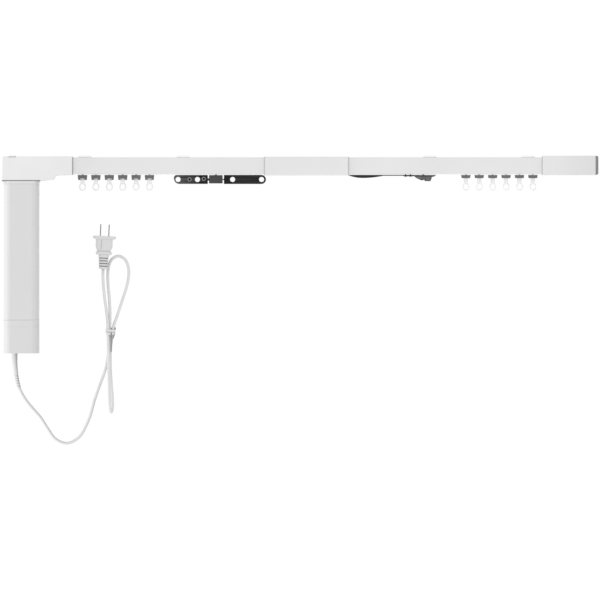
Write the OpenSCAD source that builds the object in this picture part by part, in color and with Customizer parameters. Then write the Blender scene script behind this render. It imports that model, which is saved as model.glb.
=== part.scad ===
// Electric curtain track: two rails joined by a sleeve, a drive housing with a hanging
// motor at the left, an idler housing at the right, a belt between them, two master
// carriers with hook arms, twelve runners with hook eyes, and a tied mains lead with plug.
// Lengths in mm. X runs along the track, Y towards the ceiling, Z out of the front face.
// The origin is on the ceiling plane, at the rail's mid-length and mid-depth.

/* [Track] */
// Visible rail between the two housings
span = 704; // [680:4:900]
// Depth of the rail, back to front
rail_w = 32; // [31:0.5:35]
// Height of the rail
rail_h = 25; // [24.5:0.5:28]
// Thickness of the rail's walls
rail_wall = 1.8; // [1.6:0.1:2]
// Width of the slot in the rail's underside
slot_w = 8; // [7.5:0.5:9]
// Length of the sleeve over the joint of the two rails
sleeve_len = 126.5; // [100:0.5:150]
// Length of rail inside each housing
rail_plug = 24; // [18:1:26]

/* [Ceiling brackets] */
// Width of a bracket plate along the track
bracket_w = 19; // [17:0.5:22]
// Thickness of a bracket plate
bracket_t = 1.2; // [1:0.1:1.3]
// Half the distance between the two inner brackets
bracket_in = 185; // [160:5:220]
// Radius of a bracket's screw holes
screw_r = 2.25; // [1.8:0.05:2.4]
// Distance between the two screw holes of a bracket, across the track
screw_gap = 23; // [22:0.5:23]

/* [Belt and pulleys] */
// Width of the belt
belt_w = 6; // [5:0.25:6.5]
// Thickness of the belt
belt_t = 1.6; // [1.2:0.1:1.8]
// Radius at the middle of the belt's thickness
pulley_r = 10; // [9.5:0.25:10.5]

/* [Drive and motor] */
// Length of the drive housing
drive_len = 105.5; // [102:0.5:112]
// Height of the drive housing at the motor
drive_h = 35.6; // [34:0.2:40]
// Width of the motor along the track
motor_w = 53; // [50:0.5:54]
// Depth of the motor and of the housings
motor_d = 44; // [43:0.5:48]
// Length of the motor below its seam with the housing
motor_len = 258; // [230:2:300]
// Radius of the motor's long corners
motor_corner = 10.5; // [8:0.5:12]
// Length of the motor's bottom cap
cap_len = 50; // [44:1:60]

/* [Idler housing] */
// Length of the idler housing without its end plate
end_len = 80.8; // [78:0.4:90]
// Thickness of the end plate
end_plate_t = 4.2; // [3:0.1:5]

/* [Carriers] */
// Width of a runner along the track
runner_w = 14.25; // [13:0.25:15]
// Distance from runner to runner
runner_pitch = 20.1; // [20:0.1:21]
// Height of the left master's arms
arm_h = 13.6; // [12:0.2:14.4]
// Thickness of the left master's arms
arm_t = 2.5; // [2:0.1:3]
// Radius of the hook holes in the arms
hook_hole_r = 3.75; // [3:0.05:4]
// Distance from the drive housing to the middle of the left master
left_run = 216; // [212:1:222]
// Distance from the idler housing to the middle of the right master
right_run = 177; // [170:1:182]

/* [Cord and plug] */
// Diameter of the cord
cord_d = 4.5; // [4.4:0.05:4.6]
// Distance between the plug's blades
blade_gap = 12.7; // [12.6:0.05:12.8]

/* [Fits] */
// Gap between pieces that move past each other
run_gap = 0.3; // [0.3:0.05:0.4]
// Gap all round a piece that plugs into another
fit_gap = 0.15; // [0.1:0.05:0.2]
// Radial gap of a pin in its hole
pin_gap = 0.06; // [0.03:0.01:0.09]

/* [Hidden] */
$fn = 64;
runners = 6;
// a bracket plate is as deep as the rail
bracket_d = rail_w;
// levels of the rail, from the ceiling down
y_rail = -2.5;
y_bot = y_rail - rail_h;
lip_t = 1.5;
y_lip = y_rail - lip_t;
y_tee = y_lip - 2.6;
y_roof = y_tee - 1.6;
y_belt = y_roof - 1.8;
y_belt_low = y_belt - belt_w;
y_ledge = y_belt_low - 1;
y_shelf = y_ledge - 1.2;
y_flange = y_bot + rail_wall;
in_w = rail_w - 2 * rail_wall;
tee_w = 12;
ledge_gap = 15.2;
// the sleeve
sleeve_t = 1.6;
y_sleeve = y_bot - fit_gap - sleeve_t;
sleeve_w = rail_w + 2 * fit_gap + 2 * sleeve_t;
// the wheels that run on the rail's flanges
wheel_r = (y_shelf - y_flange) / 2 - 0.75;
y_wheel = y_flange + run_gap + wheel_r;
axle_r = 1.2;
wheel_x = 13;
// the belt
belt_in = pulley_r - belt_t / 2;
belt_out = pulley_r + belt_t / 2;
hub_r = belt_in - run_gap;
rim_r = belt_out + 1.2;
// the drive housing
x_face = span / 2;
x_drive = -x_face - drive_len;
motor_x = x_drive + 30;
y_top = -1;
y_base = y_top - drive_h;
// the housings' mouths, with the seals' thickness at the drive and at the idler
mouth = 0.9;
mouth_cut = 0.4;
end_gap = 1.65;
seal_t = [1.4, 0.8];
lid_t = 2.4;
lid_x0 = x_drive + 4;
lid_x1 = -x_face - rail_plug - 6;
lid_w = motor_d - 6;
y_floor = y_belt_low - 1.6;
floor_t = 3.4;
neck_r = 18;
bush_r = 8;
stub_r = 5;
// the release latch, which slides away from the motor
latch_travel = 3;
latch_x = motor_x - neck_r + 1.2;
latch_w = 9;
// the motor
y_motor = y_base - 1.65;
ring_h = 4;
y_case = y_motor - ring_h;
y_end = y_motor - motor_len;
y_cap = y_end + cap_len;
case_t = 2;
shaft_r = 4;
spigot_h = 8;
gear_len = 48;
can_len = 94;
bell_len = 5;
shaft_in = 8;
y_gear = y_case - spigot_h;
y_can = y_gear - gear_len;
// the idler
x_end = x_face + end_len;
idler_x = x_face + 48;
y_end_top = -0.2;
y_end_low = y_bot - 1.4;
pin_r = 2.5;
// the masters and runners
y_arm = y_bot - 1.25;
arm_z = 2;
neck_w = slot_w - 1.2;
y_hole = y_arm - arm_h / 2;
y_carriage = y_shelf - 0.4;
left_master_x = -x_face + left_run;
right_master_x = x_face - right_run;
first_left = -x_face + 16;
first_right = x_face - 12.5;
// the table that the part lies on, and the lead
z_table = -motor_d / 2;
cord_x = motor_x - 10.5;
cord_r = cord_d / 2;

// A box between two corners
module box(a, b) {
  translate(a) cube(b - a);
}

// A flat shape pulled along X; its x is -Z and its y is Y
module along_x(x0, x1) {
  translate([x0, 0, 0]) rotate([0, 90, 0]) linear_extrude(x1 - x0) children();
}

// A flat shape pulled along Y; its x is X and its y is -Z
module along_y(y0, y1) {
  translate([0, y0, 0]) rotate([-90, 0, 0]) linear_extrude(y1 - y0) children();
}

// A rod along X, Y or Z
module rod_x(x0, x1, y, z, r) {
  translate([x0, y, z]) rotate([0, 90, 0]) cylinder(h = x1 - x0, r = r);
}
module rod_y(x, y0, y1, z, r) {
  translate([x, y0, z]) rotate([-90, 0, 0]) cylinder(h = y1 - y0, r = r);
}
module rod_z(x, y, z0, z1, r) {
  translate([x, y, z0]) cylinder(h = z1 - z0, r = r);
}

// A rectangle with round corners, from its low corner
module rounded(x0, y0, x1, y1, r) {
  translate([x0 + r, y0]) square([x1 - x0 - 2 * r, y1 - y0]);
  translate([x0, y0 + r]) square([x1 - x0, y1 - y0 - 2 * r]);
  for (x = [x0 + r, x1 - r], y = [y0 + r, y1 - r]) translate([x, y]) circle(r);
}

// The same about a centre, for the motor's sections
module section(w, d, r) {
  translate([motor_x, 0]) rounded(-w / 2, -d / 2, w / 2, d / 2, r);
}

// The rail's section: bracket channel, belt chamber, runner chamber, slot
module rail_section() {
  difference() {
    rounded(-rail_w / 2, y_bot, rail_w / 2, y_rail, 1.2);
    translate([-tee_w / 2, y_lip - 0.1]) square([tee_w, lip_t + 1]);
    translate([-in_w / 2, y_tee]) square([in_w, y_lip - y_tee]);
    translate([-in_w / 2, y_ledge]) square([in_w, y_roof - y_ledge]);
    translate([-ledge_gap / 2, y_shelf - 0.1]) square([ledge_gap, y_ledge - y_shelf + 0.2]);
    translate([-in_w / 2, y_flange]) square([in_w, y_shelf - y_flange]);
    translate([-slot_w / 2, y_bot - 1]) square([slot_w, rail_wall + 1.1]);
  }
}

module left_rail() {
  color([0.9, 0.9, 0.9]) along_x(-x_face - rail_plug, -0.1) rail_section();
}

module right_rail() {
  color([0.9, 0.9, 0.9]) along_x(0.1, x_face + rail_plug) rail_section();
}

// The sleeve wraps both rail ends and leaves only the slot open
module joint_sleeve() {
  inner_w = rail_w + 2 * fit_gap;
  color([0.91, 0.91, 0.91]) difference() {
    along_x(-sleeve_len / 2, sleeve_len / 2) difference() {
      rounded(-sleeve_w / 2, y_sleeve, sleeve_w / 2, y_rail + fit_gap + 0.7, 1.5);
      translate([-inner_w / 2, y_bot - fit_gap]) square([inner_w, rail_h + 2 * fit_gap]);
      translate([-slot_w / 2 - 3, y_sleeve - 1]) square([slot_w + 6, sleeve_t + 2]);
    }
    for (p = sleeve_screw_places()) rod_z(p, y_grub(), -sleeve_w / 2 - 1, -rail_w / 2, 2 + 0.02);
  }
}
function sleeve_screw_places() = [for (s = [-1, 1], d = [20, 45]) s * d];
function y_grub() = y_rail - rail_h * 0.55;

// The brackets: outer pair near the housings, inner pair nearer the middle
function bracket_places() = [-x_face + 20, -bracket_in, bracket_in, x_face - 20];
function inward(x) = x < 0 ? 1 : -1;
function pivot_x(x) = x - inward(x) * 4;

// A plate with a thick front edge on the rail; the lever turns in the room behind it
module bracket_plates() {
  half = bracket_w / 2;
  color([0.88, 0.88, 0.88]) for (x = bracket_places()) difference() {
    intersection() {
      translate([0, 0, -bracket_d / 2]) linear_extrude(bracket_d) polygon([
        [x - half - 1, y_rail], [x + half + 1, y_rail], [x + half, -0.8], [x + half - 1.4, 0],
        [x - half + 1.4, 0], [x - half, -0.8]
      ]);
      along_y(y_rail - 1, 1)
        rounded(x - half - 1, -bracket_d / 2, x + half + 1, bracket_d / 2, 2.5);
    }
    box([x - half - 2, y_rail - 1, -bracket_d / 2 - 1], [x + half + 2, -bracket_t, bracket_d / 2 - 2]);
    rod_y(pivot_x(x), -bracket_t - 1, 1, 0, pin_r + pin_gap);
    for (s = [-1, 1]) rod_y(x + inward(x) * 5.5, y_rail - 1, 1, s * screw_gap / 2, screw_r);
  }
}

// A lever at the back turns the oblong foot across the rail's bracket channel
module bracket_lever(x) {
  px = pivot_x(x);
  foot_top = y_lip - run_gap;
  arm = rail_w / 2 + 3;
  foot_low = y_tee + 0.5;
  color([0.7, 0.7, 0.72]) {
    rod_y(px, foot_low, -0.15, 0, pin_r);
    along_y(y_rail + run_gap, -bracket_t - run_gap) {
      translate([px - 3, 0]) square([6, arm]);
      translate([px, 0]) circle(4.2);
    }
    along_y(foot_low, foot_top) intersection() {
      translate([px, 0]) circle(in_w / 2 - 1.5);
      translate([px - 5.4, -in_w / 2]) square([10.8, in_w]);
    }
  }
}
module bracket_lever_1() {
  bracket_lever(bracket_places()[0]);
}
module bracket_lever_2() {
  bracket_lever(bracket_places()[1]);
}
module bracket_lever_3() {
  bracket_lever(bracket_places()[2]);
}
module bracket_lever_4() {
  bracket_lever(bracket_places()[3]);
}

// The drive housing's front outline: tall over the motor, stepped up to the rail
module drive_outline() {
  polygon([
    [x_drive + 2.6, y_top], [-x_face + mouth, y_top], [-x_face + mouth, y_bot - 1],
    [-x_face - 19, y_bot - 1.7], [-x_face - 23.5, y_bot - 2.3], [-x_face - 25.2, y_bot - 3.5],
    [-x_face - 27, y_base + 2], [-x_face - 28.5, y_base + 1.1], [motor_x + motor_w / 2 + 2, y_base - 1],
    [motor_x + motor_w / 2 + 1.5, y_base], [x_drive, y_base], [x_drive, y_base + 3.6],
    [x_drive + 1.2, y_base + 5.6]
  ]);
}
function lid_screws() = [for (x = [lid_x0 + 3.4, lid_x1 - 4.5], s = [-1, 1]) [x, s * (lid_w / 2 - 4.5)]];

module drive_housing() {
  wall = (motor_d - lid_w) / 2 + 2;
  color([0.92, 0.92, 0.92]) difference() {
    intersection() {
      translate([0, 0, -motor_d / 2]) linear_extrude(motor_d) drive_outline();
      along_y(y_base - 3, y_top + 1)
        rounded(x_drive, -motor_d / 2, -x_face + 20, motor_d / 2, 3);
    }
    along_y(y_top - lid_t, y_top + 1)
      rounded(lid_x0 - fit_gap, -lid_w / 2 - fit_gap, lid_x1 + fit_gap, lid_w / 2 + fit_gap, 6);
    along_y(y_floor, y_top)
      rounded(lid_x0 + 8, -motor_d / 2 + wall, lid_x1 - 2, motor_d / 2 - wall, 4);
    along_y(y_floor, y_top)
      rounded(lid_x0 + 1.4, -7, lid_x0 + 14, 7, 2);
    box([lid_x1 - 4, y_ledge, -in_w / 2], [-x_face - rail_plug + 0.1, y_roof, in_w / 2]);
    box([-x_face - rail_plug - 0.1, y_bot - fit_gap, -rail_w / 2 - fit_gap],
        [-x_face + mouth + 1, y_rail + fit_gap, rail_w / 2 + fit_gap]);
    rod_y(motor_x, y_floor - floor_t - 0.1, y_floor + 0.1, 0, bush_r + 0.02);
    rod_y(motor_x, y_base - 2, y_floor - floor_t, 0, neck_r + fit_gap);
    box([latch_x - 9, y_floor - 14, -latch_w / 2 - run_gap],
        [latch_x + 3.2, y_floor + 0.1, latch_w / 2 + run_gap]);
    for (p = lid_screws()) rod_y(p[0], y_top - lid_t - 9, y_top, p[1], 1.2 + 0.02);
    for (s = [-1, 1]) along_y(y_base - 3, y_top + 1) polygon([
      [-x_face + mouth - mouth_cut, s * (motor_d / 2 + 0.1)], [-x_face + mouth + 1, s * (motor_d / 2 + 0.1)],
      [-x_face + mouth + 1, s * (motor_d / 2 - mouth_cut - 0.9)],
      [-x_face + mouth, s * (motor_d / 2 - mouth_cut)]
    ]);
    tab_notch();
  }
}

// The lid carries the pulley's upper bush and the latch's slot
module drive_lid() {
  color([0.92, 0.92, 0.92]) difference() {
    union() {
      along_y(y_top - lid_t, y_top) rounded(lid_x0, -lid_w / 2, lid_x1, lid_w / 2, 6);
      rod_y(motor_x, y_roof + 0.8, y_top - lid_t + 0.1, 0, bush_r + 3);
    }
    rod_y(motor_x, y_roof - 1, y_top - lid_t, 0, bush_r + 0.02);
    box([latch_tab_x() - latch_travel - 1, y_top - 1.6, -latch_w / 2 - run_gap],
        [latch_tab_x() + 10.6, y_top + 1, latch_w / 2 + run_gap]);
    box([latch_tab_x() - latch_travel - 1, y_top - lid_t - 1, -3.5],
        [latch_tab_x() + 3.8, y_top + 1, 3.5]);
    tab_notch();
    for (p = lid_screws()) {
      rod_y(p[0], y_top - lid_t - 1, y_top + 1, p[1], 1.2 + 0.02);
      rod_y(p[0], y_top - 1.4, y_top + 1, p[1], 2.4 + 0.02);
    }
  }
}
function latch_tab_x() = motor_x - rim_r - 6.4;
// The way of the tab's front part, open to the front
module tab_notch() {
  box([latch_tab_x() + 1.8 - latch_travel, y_top - 1.6, 4],
      [latch_tab_x() + 10.6, y_top + 1, motor_d / 2 + 1]);
}

// The latch: thumb tab on the lid, stem past the pulley, tooth in the motor's neck groove
module release_latch() {
  tx = latch_tab_x();
  color([0.45, 0.45, 0.46]) {
    box([tx, y_top - 1.6 + run_gap, -latch_w / 2], [tx + 10.25, -0.1, latch_w / 2]);
    box([tx + 2.2, y_top - 1.6 + run_gap, latch_w / 2 - 0.1], [tx + 10.25, -0.1, motor_d / 2 - 0.8]);
    box([tx, y_floor - 3, -3], [tx + 3.4, y_top - 1, 3]);
    box([latch_x - 5.6, y_floor - 13, -latch_w / 2], [latch_x - 1.9, y_floor - 3, latch_w / 2]);
    box([latch_x - 5.6, y_floor - 3.9, -3], [tx + 3.4, y_floor - 0.5, 3]);
    box([latch_x - 2, y_floor - 10.4, -latch_w / 2], [latch_x, y_floor - 7.6, latch_w / 2]);
  }
}

// Dark seals close both housings' mouths round the rail
module rail_seals() {
  left = -x_face + mouth;
  right = x_face + end_gap;
  color([0.4, 0.4, 0.4]) for (x = [[left, left + seal_t[0]], [right - seal_t[1], right]])
    along_x(x[0], x[1]) difference() {
      rounded(-rail_w / 2 - 0.9, y_bot - 0.4, rail_w / 2 + 0.9, y_rail + 0.4, 1.5);
      rounded(-rail_w / 2 - 0.05, y_bot - 0.05, rail_w / 2 + 0.05, y_rail + 0.05, 1.2);
    }
}

// A dark seal fills the seam between housing and motor
module motor_seal() {
  edge = motor_d / 2 - 0.6;
  color([0.4, 0.4, 0.4]) along_y(y_motor, y_base) difference() {
    rounded(x_drive + 1.1, -edge, motor_x + motor_w / 2 + 1.2, edge, 3);
    translate([motor_x, 0]) circle(neck_r + fit_gap);
  }
}

// The motor's collar: ring, neck with latch groove, and spigot inside the casing
module motor_collar() {
  color([0.95, 0.95, 0.95]) difference() {
    union() {
      along_y(y_case, y_motor) section(motor_w, motor_d, motor_corner);
      along_y(y_gear, y_case + 0.1) section(
        motor_w - 2 * case_t - 2 * fit_gap, motor_d - 2 * case_t - 2 * fit_gap,
        motor_corner - case_t);
      rod_y(motor_x, y_motor - 0.1, y_floor - floor_t - 1, 0, neck_r);
    }
    rod_y(motor_x, y_gear - 1, y_floor, 0, shaft_r + 1);
    difference() {
      rod_y(motor_x, y_floor - 10.9, y_floor - 7.1, 0, neck_r + 1);
      rod_y(motor_x, y_floor - 12, y_floor - 6, 0, neck_r - 2.2);
    }
  }
}

module motor_casing() {
  color([0.85, 0.85, 0.85]) along_y(y_cap, y_case) difference() {
    section(motor_w, motor_d, motor_corner);
    section(motor_w - 2 * case_t, motor_d - 2 * case_t, motor_corner - case_t);
  }
}

button_dx = motor_w / 2 - 17.5;
light_dx = motor_w / 2 - 9.5;
module motor_cap() {
  color([0.86, 0.86, 0.86]) difference() {
    union() {
      along_y(y_end, y_cap) section(motor_w, motor_d, motor_corner);
      along_y(y_cap - 0.1, y_cap + 6) section(
        motor_w - 2 * case_t - 2 * fit_gap, motor_d - 2 * case_t - 2 * fit_gap,
        motor_corner - case_t);
    }
    along_y(y_end + 3, y_cap + 7) section(
      motor_w - 4 * case_t, motor_d - 4 * case_t, motor_corner - 2 * case_t);
    along_y(y_cap - 10.2, y_cap - 9.5) difference() {
      section(motor_w + 1, motor_d + 1, motor_corner);
      section(motor_w - 0.6, motor_d - 0.6, motor_corner - 0.3);
    }
    rod_y(cord_x, y_end - 1, y_end + 4, 0, 5.1);
    rod_y(motor_x + button_dx, y_end - 1, y_end + 4, 0, 2 + pin_gap);
    rod_y(motor_x + light_dx, y_end - 1, y_end + 4, 0, 1.5 + 0.02);
  }
}

module gearbox() {
  color([0.55, 0.55, 0.57]) difference() {
    rod_y(motor_x, y_can, y_gear, 0, motor_d / 2 - case_t - 2);
    rod_y(motor_x, y_gear - shaft_in - 1, y_gear + 1, 0, shaft_r + run_gap);
  }
}

module motor_can() {
  can_r = motor_d / 2 - case_t - 1.5;
  color([0.6, 0.6, 0.62]) {
    rod_y(motor_x, y_can - can_len, y_can, 0, can_r);
    rod_y(motor_x, y_can - can_len - bell_len, y_can - can_len + 0.1, 0, can_r * 0.6);
  }
}

// The board stands in the cap; its switch is above the button, its lamp above the light pipe
module control_board() {
  w = motor_w - 4 * case_t - 0.4;
  color([0.12, 0.35, 0.2]) box([motor_x - w / 2, y_end + 7, -6],
    [motor_x + w / 2, y_cap - 4, -4.4]);
  color([0.2, 0.2, 0.2]) {
    box([motor_x + button_dx - 3, y_end + 8.6, -4.5], [motor_x + button_dx + 3, y_end + 14, 2.4]);
    box([motor_x + light_dx - 2, y_end + 9.4, -4.5], [motor_x + light_dx + 2, y_end + 13, 1.6]);
    box([motor_x - 18, y_end + 24, -4.5], [motor_x - 2, y_cap - 8, 10]);
    rod_z(motor_x + 9, y_end + 30, -4.5, 12, 6);
  }
}

module light_pipe() {
  color([0.9, 0.9, 0.85]) rod_y(motor_x + light_dx, y_end, y_end + 9, 0, 1.5);
}

module setting_button() {
  color([0.5, 0.5, 0.5]) {
    rod_y(motor_x + button_dx, y_end + 0.1, y_end + 7.4, 0, 2);
    rod_y(motor_x + button_dx, y_end + 3.4, y_end + 4.6, 0, 3.2);
  }
}

// The drive: toothed pulley on two bushes, turned by the motor's shaft
module pulley(x, stub_top, stub_low) {
  difference() {
    rod_y(x, y_belt_low - 0.4, y_belt + 0.4, 0, hub_r);
    for (i = [0:17]) translate([x, 0, 0]) rotate([0, i * 20, 0])
      rod_y(hub_r + 0.3, y_belt_low - 1, y_belt + 1, 0, 0.9);
  }
  rod_y(x, y_belt + 0.3, y_belt + 1.4, 0, rim_r);
  rod_y(x, y_belt_low - 1.3, y_belt_low - 0.3, 0, rim_r);
  rod_y(x, stub_low, stub_top, 0, stub_r);
}

module drive_pulley() {
  color([0.93, 0.93, 0.9]) difference() {
    pulley(motor_x, y_top - lid_t - 0.4, y_floor - floor_t - 0.4);
    rod_y_hex(motor_x, y_floor - floor_t - 1, y_belt - 1.6, shaft_r + pin_gap);
  }
}
module rod_y_hex(x, y0, y1, r) {
  translate([x, y0, 0]) rotate([-90, 0, 0]) cylinder(h = y1 - y0, r = r, $fn = 6);
}

module drive_shaft() {
  color([0.7, 0.7, 0.72]) {
    rod_y_hex(motor_x, y_floor - floor_t - 4, y_belt - 2, shaft_r);
    rod_y(motor_x, y_gear - shaft_in, y_floor - floor_t - 4, 0, shaft_r);
  }
}

module pulley_bushes() {
  color([0.75, 0.62, 0.35]) for (y = [[y_roof + 0.8, y_top - lid_t], [y_floor - floor_t, y_floor]])
    difference() {
      rod_y(motor_x, y[0], y[1], 0, bush_r);
      rod_y(motor_x, y[0] - 1, y[1] + 1, 0, stub_r + pin_gap);
    }
}

// The idler end
module idler_housing() {
  chamber = motor_d - 10;
  color([0.9, 0.9, 0.9]) difference() {
    union() {
      difference() {
        along_y(y_end_low, y_end_top) polygon([
          [x_face + end_gap + mouth_cut, -motor_d / 2], [x_end, -motor_d / 2], [x_end, motor_d / 2],
          [x_face + end_gap + mouth_cut, motor_d / 2], [x_face + end_gap, motor_d / 2 - mouth_cut],
          [x_face + end_gap, mouth_cut - motor_d / 2]
        ]);
        box([x_face + rail_plug - 0.1, y_bot + 2.5, -chamber / 2], [x_end + 1, -4, chamber / 2]);
        box([x_face - 1, y_bot - fit_gap, -rail_w / 2 - fit_gap],
            [x_face + rail_plug + 0.1, y_rail + fit_gap, rail_w / 2 + fit_gap]);
      }
      rod_y(idler_x, y_roof + 0.5, y_end_top - 1, 0, stub_r);
      rod_y(idler_x, y_end_low + 1, y_floor, 0, stub_r);
    }
    rod_y(idler_x, y_bot, y_rail, 0, pin_r + 0.02);
    for (s = [-1, 1]) rod_x(x_end - 9, x_end + 1, end_screw_y(), s * (chamber / 2 + 2.5), 1.2 + 0.02);
  }
}
function end_screw_y() = (y_end_top + y_end_low) / 2;

module end_plate() {
  chamber = motor_d - 10;
  color([0.55, 0.55, 0.55]) difference() {
    intersection() {
      along_x(x_end, x_end + end_plate_t) rounded(-motor_d / 2, y_end_low, motor_d / 2, y_end_top, 4);
      translate([0, 0, -motor_d]) linear_extrude(2 * motor_d)
        rounded(x_end - 10, y_end_low, x_end + end_plate_t, y_end_top, 3);
    }
    for (s = [-1, 1]) {
      rod_x(x_end - 1, x_end + end_plate_t + 1, end_screw_y(), s * (chamber / 2 + 2.5), 1.2 + 0.02);
      rod_x(x_end + end_plate_t - 1.4, x_end + 9, end_screw_y(), s * (chamber / 2 + 2.5), 2.4 + 0.02);
    }
  }
}

module idler_axle() {
  color([0.7, 0.7, 0.72]) rod_y(idler_x, y_bot, y_rail, 0, pin_r);
}

module idler_pulley() {
  color([0.93, 0.93, 0.9]) difference() {
    pulley(idler_x, y_belt + 1.4, y_belt_low - 1.3);
    rod_y(idler_x, y_floor - 1, y_roof + 1, 0, pin_r + pin_gap);
  }
}

// The belt runs round both pulleys, on edge
module belt() {
  color([0.15, 0.15, 0.15]) along_y(y_belt_low, y_belt) difference() {
    loop(belt_out);
    loop(belt_in);
  }
}
module loop(r) {
  translate([motor_x, -r]) square([idler_x - motor_x, 2 * r]);
  translate([motor_x, 0]) circle(r);
  translate([idler_x, 0]) circle(r);
}

// All small screws: lid, end plate, and the sleeve's grub screws
module case_screws() {
  chamber = motor_d - 10;
  color([0.75, 0.75, 0.77]) {
    for (p = lid_screws()) translate([p[0], y_top, p[1]]) rotate([90, 0, 0]) screw(1.4, 9);
    for (s = [-1, 1]) translate([x_end + end_plate_t, end_screw_y(), s * (chamber / 2 + 2.5)])
      rotate([0, -90, 0]) screw(1.4, 10);
    for (p = sleeve_screw_places()) difference() {
      rod_z(p, y_grub(), -sleeve_w / 2 + 0.1, -rail_w / 2 - 0.03, 2);
      translate([p, y_grub(), -sleeve_w / 2]) cylinder(h = 1, r = 1.1, $fn = 6);
    }
  }
}
// A pan screw whose head's top is at the origin and which points along +Z
module screw(head_h, length) {
  difference() {
    union() {
      cylinder(h = head_h, r = 2.4);
      cylinder(h = length, r = 1.2);
    }
    for (a = [0, 90]) rotate([0, 0, a]) translate([-1.6, -0.3, -1]) cube([3.2, 0.6, 1.7]);
  }
}

// A master's carriage inside the rail, with its neck through the slot
module carriage_top(x) {
  difference() {
    union() {
      box([x - 20, y_flange + 0.4, -5], [x + 20, y_carriage, 5]);
      box([x - 1.8, y_arm - 0.4, -neck_w / 2], [x + 1.8, y_flange + 0.5, neck_w / 2]);
    }
    for (s = [-1, 1]) rod_z(x + s * wheel_x, y_wheel, -6, 6, axle_r + pin_gap);
  }
}

module wheel_pair(x) {
  color([0.25, 0.25, 0.26]) {
    rod_z(x, y_wheel, -9, 9, axle_r);
    for (s = [[-9, -5.4], [5.4, 9]]) rod_z(x, y_wheel, s[0], s[1], wheel_r);
  }
}

// The clamp rises past the shelves and reaches round one run of the belt
module clamp(x, side) {
  jaw_in = belt_in - run_gap;
  jaw_out = belt_out + run_gap;
  low = y_ledge + run_gap;
  high = y_roof - run_gap;
  color([0.2, 0.2, 0.2]) mirror([0, 0, side < 0 ? 1 : 0]) {
    box([x - 7, y_carriage, -4.5], [x + 7, low + 1.5, ledge_gap / 2 - 0.5]);
    box([x - 7, low, jaw_in - 3], [x + 7, high, jaw_in]);
    box([x - 7, y_belt + run_gap, jaw_in - 3], [x + 7, high, jaw_out + 1.8]);
    box([x - 7, low, jaw_out], [x + 7, high, jaw_out + 1.8]);
  }
}

// Left master: upright arms, the tail arm riveted to the block's rear flange
tail_rivets = [[-39.3, 0], [-18, 0.8]];
tail_holes = [-56.6, -27.5];
lead_holes = [25.2, 68.6];
rivet_r = 2.3;
block_x = 10.2;
tongue = 0.8;

module left_carriage() {
  x = left_master_x;
  color([0.31, 0.31, 0.31]) difference() {
    union() {
      carriage_top(x);
      box([x - block_x, y_arm - arm_h + 0.9, -5.5], [x + block_x, y_arm - 0.3, arm_z + arm_t + 0.2]);
      box([x - 44, y_arm - arm_h + 1.4, arm_z - 2.4], [x - block_x - 2.2, y_arm - 1.4, arm_z]);
      box([x - block_x - 2.3, y_hole - 1.8, arm_z - 2.4], [x - block_x + 0.1, y_hole + 1.8, arm_z]);
    }
    box([x + 4, y_hole - tongue - fit_gap, arm_z + 0.4 - fit_gap],
        [x + block_x + 1, y_hole + tongue + fit_gap, arm_z + arm_t - 0.5 + fit_gap]);
    rod_z(x + tail_holes[1], y_hole, -9, 9, hook_hole_r + 0.4);
    for (p = tail_rivets) rod_z(x + p[0], y_hole + p[1], -9, 9, rivet_r + 0.02);
  }
}

module left_tail_arm() {
  x = left_master_x;
  end = x - 62.9;
  high = y_arm - 0.1;
  low = y_arm - arm_h + 0.1;
  big = arm_h * 0.6;
  small = arm_h * 0.3;
  color([0.26, 0.26, 0.26]) translate([0, 0, arm_z]) linear_extrude(arm_t) difference() {
    union() {
      translate([end + big, low]) square([x - 12 - end - big, high - low]);
      intersection() {
        translate([end + big, low + big]) circle(big);
        translate([end, low]) square([big + 0.1, big + 0.1]);
      }
      translate([end + small, high - small]) circle(small);
      translate([end + small, low + big]) square([big, high - low - big]);
      translate([end, low + big]) square([big, high - low - big - small]);
    }
    for (h = tail_holes) translate([x + h, y_hole]) circle(hook_hole_r);
    for (p = tail_rivets) translate([x + p[0], y_hole + p[1]]) circle(rivet_r + 0.02);
  }
}

module left_lead_arm() {
  x = left_master_x;
  r = arm_h / 2;
  color([0.2, 0.2, 0.2]) {
    translate([0, 0, arm_z]) linear_extrude(arm_t) difference() {
      union() {
        translate([x + 75.2 - r, y_hole]) circle(r);
        translate([x + 12.2, y_arm - arm_h]) square([63 - r, arm_h]);
      }
      for (h = lead_holes) translate([x + h, y_hole]) circle(hook_hole_r);
    }
    box([x + 4.2, y_hole - tongue, arm_z + 0.4], [x + 12.3, y_hole + tongue, arm_z + arm_t - 0.5]);
  }
}

// Hollow rivets with a ring-shaped head
module left_rivets() {
  x = left_master_x;
  front = arm_z + arm_t;
  color([0.4, 0.4, 0.4]) for (p = tail_rivets) difference() {
    union() {
      rod_z(x + p[0], y_hole + p[1], arm_z - 3.2, front + 0.1, rivet_r);
      rod_z(x + p[0], y_hole + p[1], front, front + 0.8, rivet_r + 0.7);
      rod_z(x + p[0], y_hole + p[1], arm_z - 3.2, arm_z - 2.4, rivet_r + 0.7);
    }
    rod_z(x + p[0], y_hole + p[1], arm_z - 2.6, front + 2, rivet_r - 0.5);
  }
}

module left_clamp() {
  clamp(left_master_x, 1);
}
module left_wheels_a() {
  wheel_pair(left_master_x - wheel_x);
}
module left_wheels_b() {
  wheel_pair(left_master_x + wheel_x);
}

// Right master: its lead arm lies flat under the rail, has a pad below its rivets and ends in
// a bowed spoon
flat_t = 1.2;
flat_reach = 112.7;
flat_root = 13.8;
flat_rivets = [-26.5, -19];
shank_r = 0.9;
flat_holes = [-50, -98];
spoon_len = 53;
spoon_mid = 22;
spoon_drop = 3.3;
pad_reach = 29.3;
pad_t = 0.8;

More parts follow.
